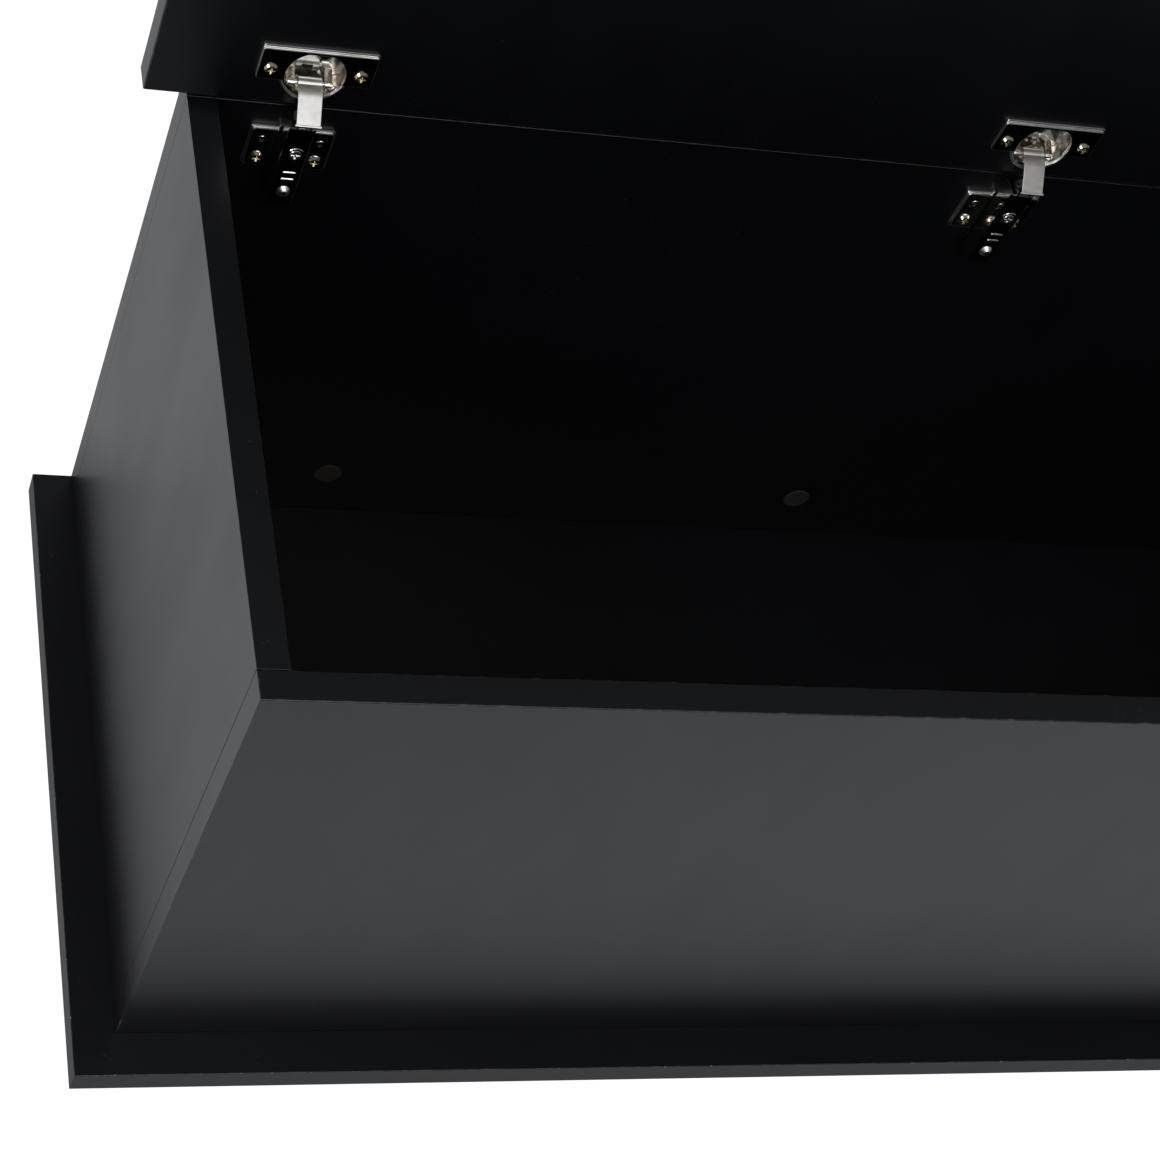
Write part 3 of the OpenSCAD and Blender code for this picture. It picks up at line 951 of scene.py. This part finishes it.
        top = self.cover_y + self.cover_thick
        outer = self.roll_inner + self.cover_thick
        half = self.link_wide / 2
        cover = ([(-6.0, self.cover_y), (9.5, self.cover_y), (13.5, 3.3)]
                 + arc((span, 0), self.roll_inner, 110, 0, 10) + arc((span, 0), outer, 0, 110, 14)
                 + [(14.1, 4.3), (11.8, 4.85), (9.6, top), (-6.0, top)])
        shape.prism(place(cover), -half, half, Axis.X, 0.28)
        lip = [(-6.0, self.cover_y - 0.1), (-4.9, self.cover_y - 0.1), (-4.9, top + 0.12), (-6.0, top + 0.12)]
        shape.prism(place(lip), -half - 0.7, half + 0.7, Axis.X, 0.3)
        for side in SIDES:
            ear = arc((0, 0), 2.2, 180, 360, 10) + [(2.2, self.cover_y + 0.1), (-2.2, self.cover_y + 0.1)]
            shape.prism(place(ear), side * 4.8, side * half, Axis.X, 0.2)
            shape.prism(place(arc((span, 0), outer - 0.02, 0, 345, 23)), side * 2.9, side * (half - 0.02),
                        Axis.X, 0.25)
        made = shape.piece(f"link_{self.name}", self.origin, [self.paint(PALE_NICKEL)])
        settle(made, "outer_links", "nickel_steel", f"outer_link_{self.name}")

    def build(self) -> None:
        """Makes the whole hinge."""
        self.cup()
        self.plate()
        self.arm()
        self.link()


# ---- small fittings ---------------------------------------------------------


@dataclass
class Feet:
    """The glides under the base plate."""

    paint: Paint
    radius: float = 11.0
    tall: float = 3.0

    def build(self) -> None:
        """Makes domed glides in the CAD glides' places."""
        low, high = (Vector(v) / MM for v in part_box("glides"))
        shape = Shape()
        r, h = self.radius, self.tall
        profile = [(0, 0), (r * 0.7, 0), (r * 0.9, 0.25), (r, 0.9), (r, h - 0.02), (0, h - 0.02)]
        for x in (low.x + r, (low.x + high.x) / 2, high.x - r):
            for y in (low.y + r, high.y - r):
                shape.lathe(profile, (x, y, low.z), Axis.Z, 48)
        made = shape.piece("floor_glides", Vector(), [self.paint(GLIDE_AND_HOLE_SHADE)])
        settle(made, "carcass", "glide_plastic", "glides")


@dataclass
class Bumpers:
    """The pads that the closed lid rests on."""

    paint: Paint

    def build(self) -> None:
        """Makes domed pads in the CAD pads' places."""
        low, high = (Vector(v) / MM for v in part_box("lid_bumpers"))
        radius = (high.z - low.z) / 2
        tall = high.y - low.y
        shape = Shape()
        profile = [(0, 0), (radius * 0.55, 0.12), (radius * 0.85, 0.5), (radius, tall - 0.35),
                   (radius, tall), (0, tall)]
        for x in (low.x + radius, high.x - radius):
            shape.lathe(profile, (x, low.y, (low.z + high.z) / 2), Axis.Y, 40)
        made = shape.piece("lid_pads", Vector(), [self.paint(BUMPER)])
        settle(made, "lid", "bumper_rubber", "lid_bumpers")


@dataclass
class AdjustingScrews:
    """The large cone-headed screws at the arms' ends."""

    paint: Paint
    radius: float = 3.8
    tall: float = 2.1
    shank: float = 2.0

    def build(self, hinges: list[CupHinge]) -> None:
        """Makes the heads, one in each arm, in the lighter nickel copy as a painted highlight, each with a
        crossed slot drawn as a dark cross: painted shade of the recess.

        Args:
            hinges: The hinges that the screws belong to.
        """
        shape = Shape()
        low, high = (Vector(v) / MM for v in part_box("arm_adjusting_screws"))
        height = (low.z + high.z) / 2
        r, t = self.radius, self.tall
        head = hinges[0].origin.y / MM + hinges[0].arm_face
        length = high.y - head
        profile = [(0, length), (self.shank, length), (self.shank, 0), (r, 0), (r, -t * 0.08),
                   (r * 0.85, -t * 0.4), (r * 0.62, -t * 0.82), (r * 0.5, -t), (0, -t)]
        for hinge in hinges:
            x = hinge.origin.x / MM
            shape.lathe(profile, (x, head, height), Axis.Y, 40)
            # The crossed slot is a dark cross laid on the head's top: painted shade of the recess.
            for across, up in ((2.1, 0.55), (0.55, 2.1)):
                slot = rounded_box((x - across, height - up), (x + across, height + up), 0.25)
                shape.prism(slot, head - t * 0.98 - 0.06, head - t * 0.6, Axis.Y, 0.0, 1)
        made = shape.piece("arm_end_screws", Vector(), [self.paint(HIGHLIGHT_NICKEL), self.paint(GLIDE_AND_HOLE_SHADE)])
        settle(made, "carcass", "nickel_steel", "arm_adjusting_screws")


@dataclass
class KeptNodes:
    """CAD nodes whose shape is right: they get a finish, and the turned or pressed ones soft edges."""

    paint: Paint
    soft_edge: float = 0.00012

    def dress(self, node: str, finish: object, soft: bool = False) -> None:
        """Gives a CAD node its material.

        Args:
            node: The node's name.
            finish: Its finish.
            soft: Whether its sharp edges are rounded a little.
        """
        piece = frame["nodes"][node]
        piece.data.materials.clear()
        piece.data.materials.append(self.paint(finish))
        if soft:
            rounding = piece.modifiers.new("soft_edge", "BEVEL")
            rounding.width = self.soft_edge
            rounding.segments = 2
            rounding.limit_method = "ANGLE"
            rounding.angle_limit = math.radians(40)
        log.info("%s keeps its CAD shape", node)

    def build(self) -> None:
        """Dresses every kept node."""
        for node in ("plate_screws", "cup_screws"):
            self.dress(node, YELLOW_ZINC, True)
        # The fixing screws take the lighter nickel copy: a painted highlight.
        self.dress("arm_fixing_screws", HIGHLIGHT_NICKEL, True)
        for node in ("arm_pins", "cup_pins", "leaf_springs"):
            self.dress(node, NICKEL)
        for name in HINGE_NAMES:
            self.dress(f"inner_link_{name}", NICKEL, True)
        self.dress("cam_locks", CLEAR_ZINC)
        self.dress("cam_bolts", CLEAR_ZINC)
        self.dress("dowels", BEECH)
        self.dress("cam_caps", CAP)


# ---- studio -----------------------------------------------------------------


@dataclass
class Studio:
    """Floor, lights and camera."""

    paint: Paint
    eye: tuple[float, float, float] = (-0.7552, -0.7351, 1.2891)
    turn: tuple[float, float, float] = (34.449, -14.597, -7.273)
    lens: float = 77.96
    shift: Point = (0.2020, 0.0185)
    walls: float = 0.19
    seen_walls: float = 1.05
    lamp_tint: tuple[float, float, float] = (0.93, 0.955, 1.0)

    def floor(self) -> None:
        """Makes the pale floor under the glides."""
        mesh = bpy.data.meshes.new("studio_floor")
        half = 15.0
        level = CAD_BOX[0][2] - 0.0004
        corners = [(x, y, level) for x, y in ((-half, -half), (half, -half), (half, half), (-half, half))]
        mesh.from_pydata(corners, [], [(0, 1, 2, 3)])
        made = bpy.data.objects.new("studio_floor", mesh)
        mesh.materials.append(self.paint(STUDIO_FLOOR))
        bpy.context.collection.objects.link(made)

    def lamp(self, name: str, place: tuple[float, float, float], aim: tuple[float, float, float],
             size: Point, power: float, tint: tuple[float, float, float] = (1, 1, 1)) -> None:
        """Adds a rectangular soft light.

        Args:
            name: The light's name.
            place: Its centre.
            aim: The point it faces.
            size: Width and height, in metres.
            power: Watts.
            tint: Its colour.
        """
        light = bpy.data.lights.new(name, "AREA")
        light.shape = "RECTANGLE"
        light.size, light.size_y = size
        light.energy = power
        light.color = tint
        made = bpy.data.objects.new(name, light)
        made.location = place
        made.rotation_euler = (Vector(aim) - Vector(place)).to_track_quat("-Z", "Y").to_euler()
        bpy.context.collection.objects.link(made)

    def camera(self) -> None:
        """Adds the camera."""
        data = bpy.data.cameras.new("camera")
        data.lens = self.lens
        data.sensor_width = 36.0
        data.shift_x, data.shift_y = self.shift
        data.clip_start = 0.01
        made = bpy.data.objects.new("camera", data)
        made.location = self.eye
        made.rotation_euler = Euler([math.radians(t) for t in self.turn], "XYZ")
        bpy.context.collection.objects.link(made)
        bpy.context.scene.camera = made

    def surroundings(self) -> None:
        """Makes the studio's walls: dim as a light, white to look at."""
        world = bpy.data.worlds.new("studio")
        world.use_nodes = True
        tree = world.node_tree
        path = tree.nodes.new("ShaderNodeLightPath")
        strength = tree.nodes.new("ShaderNodeMath")
        strength.operation = "MULTIPLY_ADD"
        strength.inputs[1].default_value = self.seen_walls - self.walls
        strength.inputs[2].default_value = self.walls
        tree.links.new(path.outputs["Is Camera Ray"], strength.inputs[0])
        back = tree.nodes["Background"]
        back.inputs["Color"].default_value = (0.95, 0.97, 1.0, 1.0)
        tree.links.new(strength.outputs[0], back.inputs["Strength"])
        bpy.context.scene.world = world

    def build(self) -> None:
        """Sets the studio up."""
        self.floor()
        self.lamp("overhead", (-0.6, -2.3, 3.3), (-0.2, 0, 0.2), (3.0, 1.6), 38, self.lamp_tint)
        self.lamp("front_box", (0.8, -3.2, 2.3), (0, 0, 0.35), (2.4, 1.4), 22, self.lamp_tint)
        self.lamp("left_box", (-2.6, -0.4, 1.8), (-0.9, -0.1, 0), (1.2, 1.2), 36)
        self.surroundings()
        bpy.context.scene.view_settings.view_transform = "Standard"
        self.camera()


def main() -> None:
    """Builds the table and its studio, piece by piece."""
    logging.basicConfig(level=logging.INFO, format="%(name)s: %(message)s")
    paint = Paint()
    Studio(paint).build()
    hinges = [CupHinge(name, paint) for name in HINGE_NAMES]
    rounding = {"base_plate": 0.55, "front_panel": 0.8, "back_panel": 0.55,
                "side_panel_left": 0.25, "side_panel_right": 0.25}
    for node, soft in rounding.items():
        Board(node, "carcass", paint, soft).build()
    Board("lid_panel", "lid", paint, 0.9, cups=[hinge.cup_origin / MM for hinge in hinges]).build()
    EdgeChips(paint).build()
    for hinge in hinges:
        hinge.build()
    AdjustingScrews(paint).build(hinges)
    Feet(paint).build()
    Bumpers(paint).build()
    KeptNodes(paint).build()


if __name__ == "__main__":
    main()
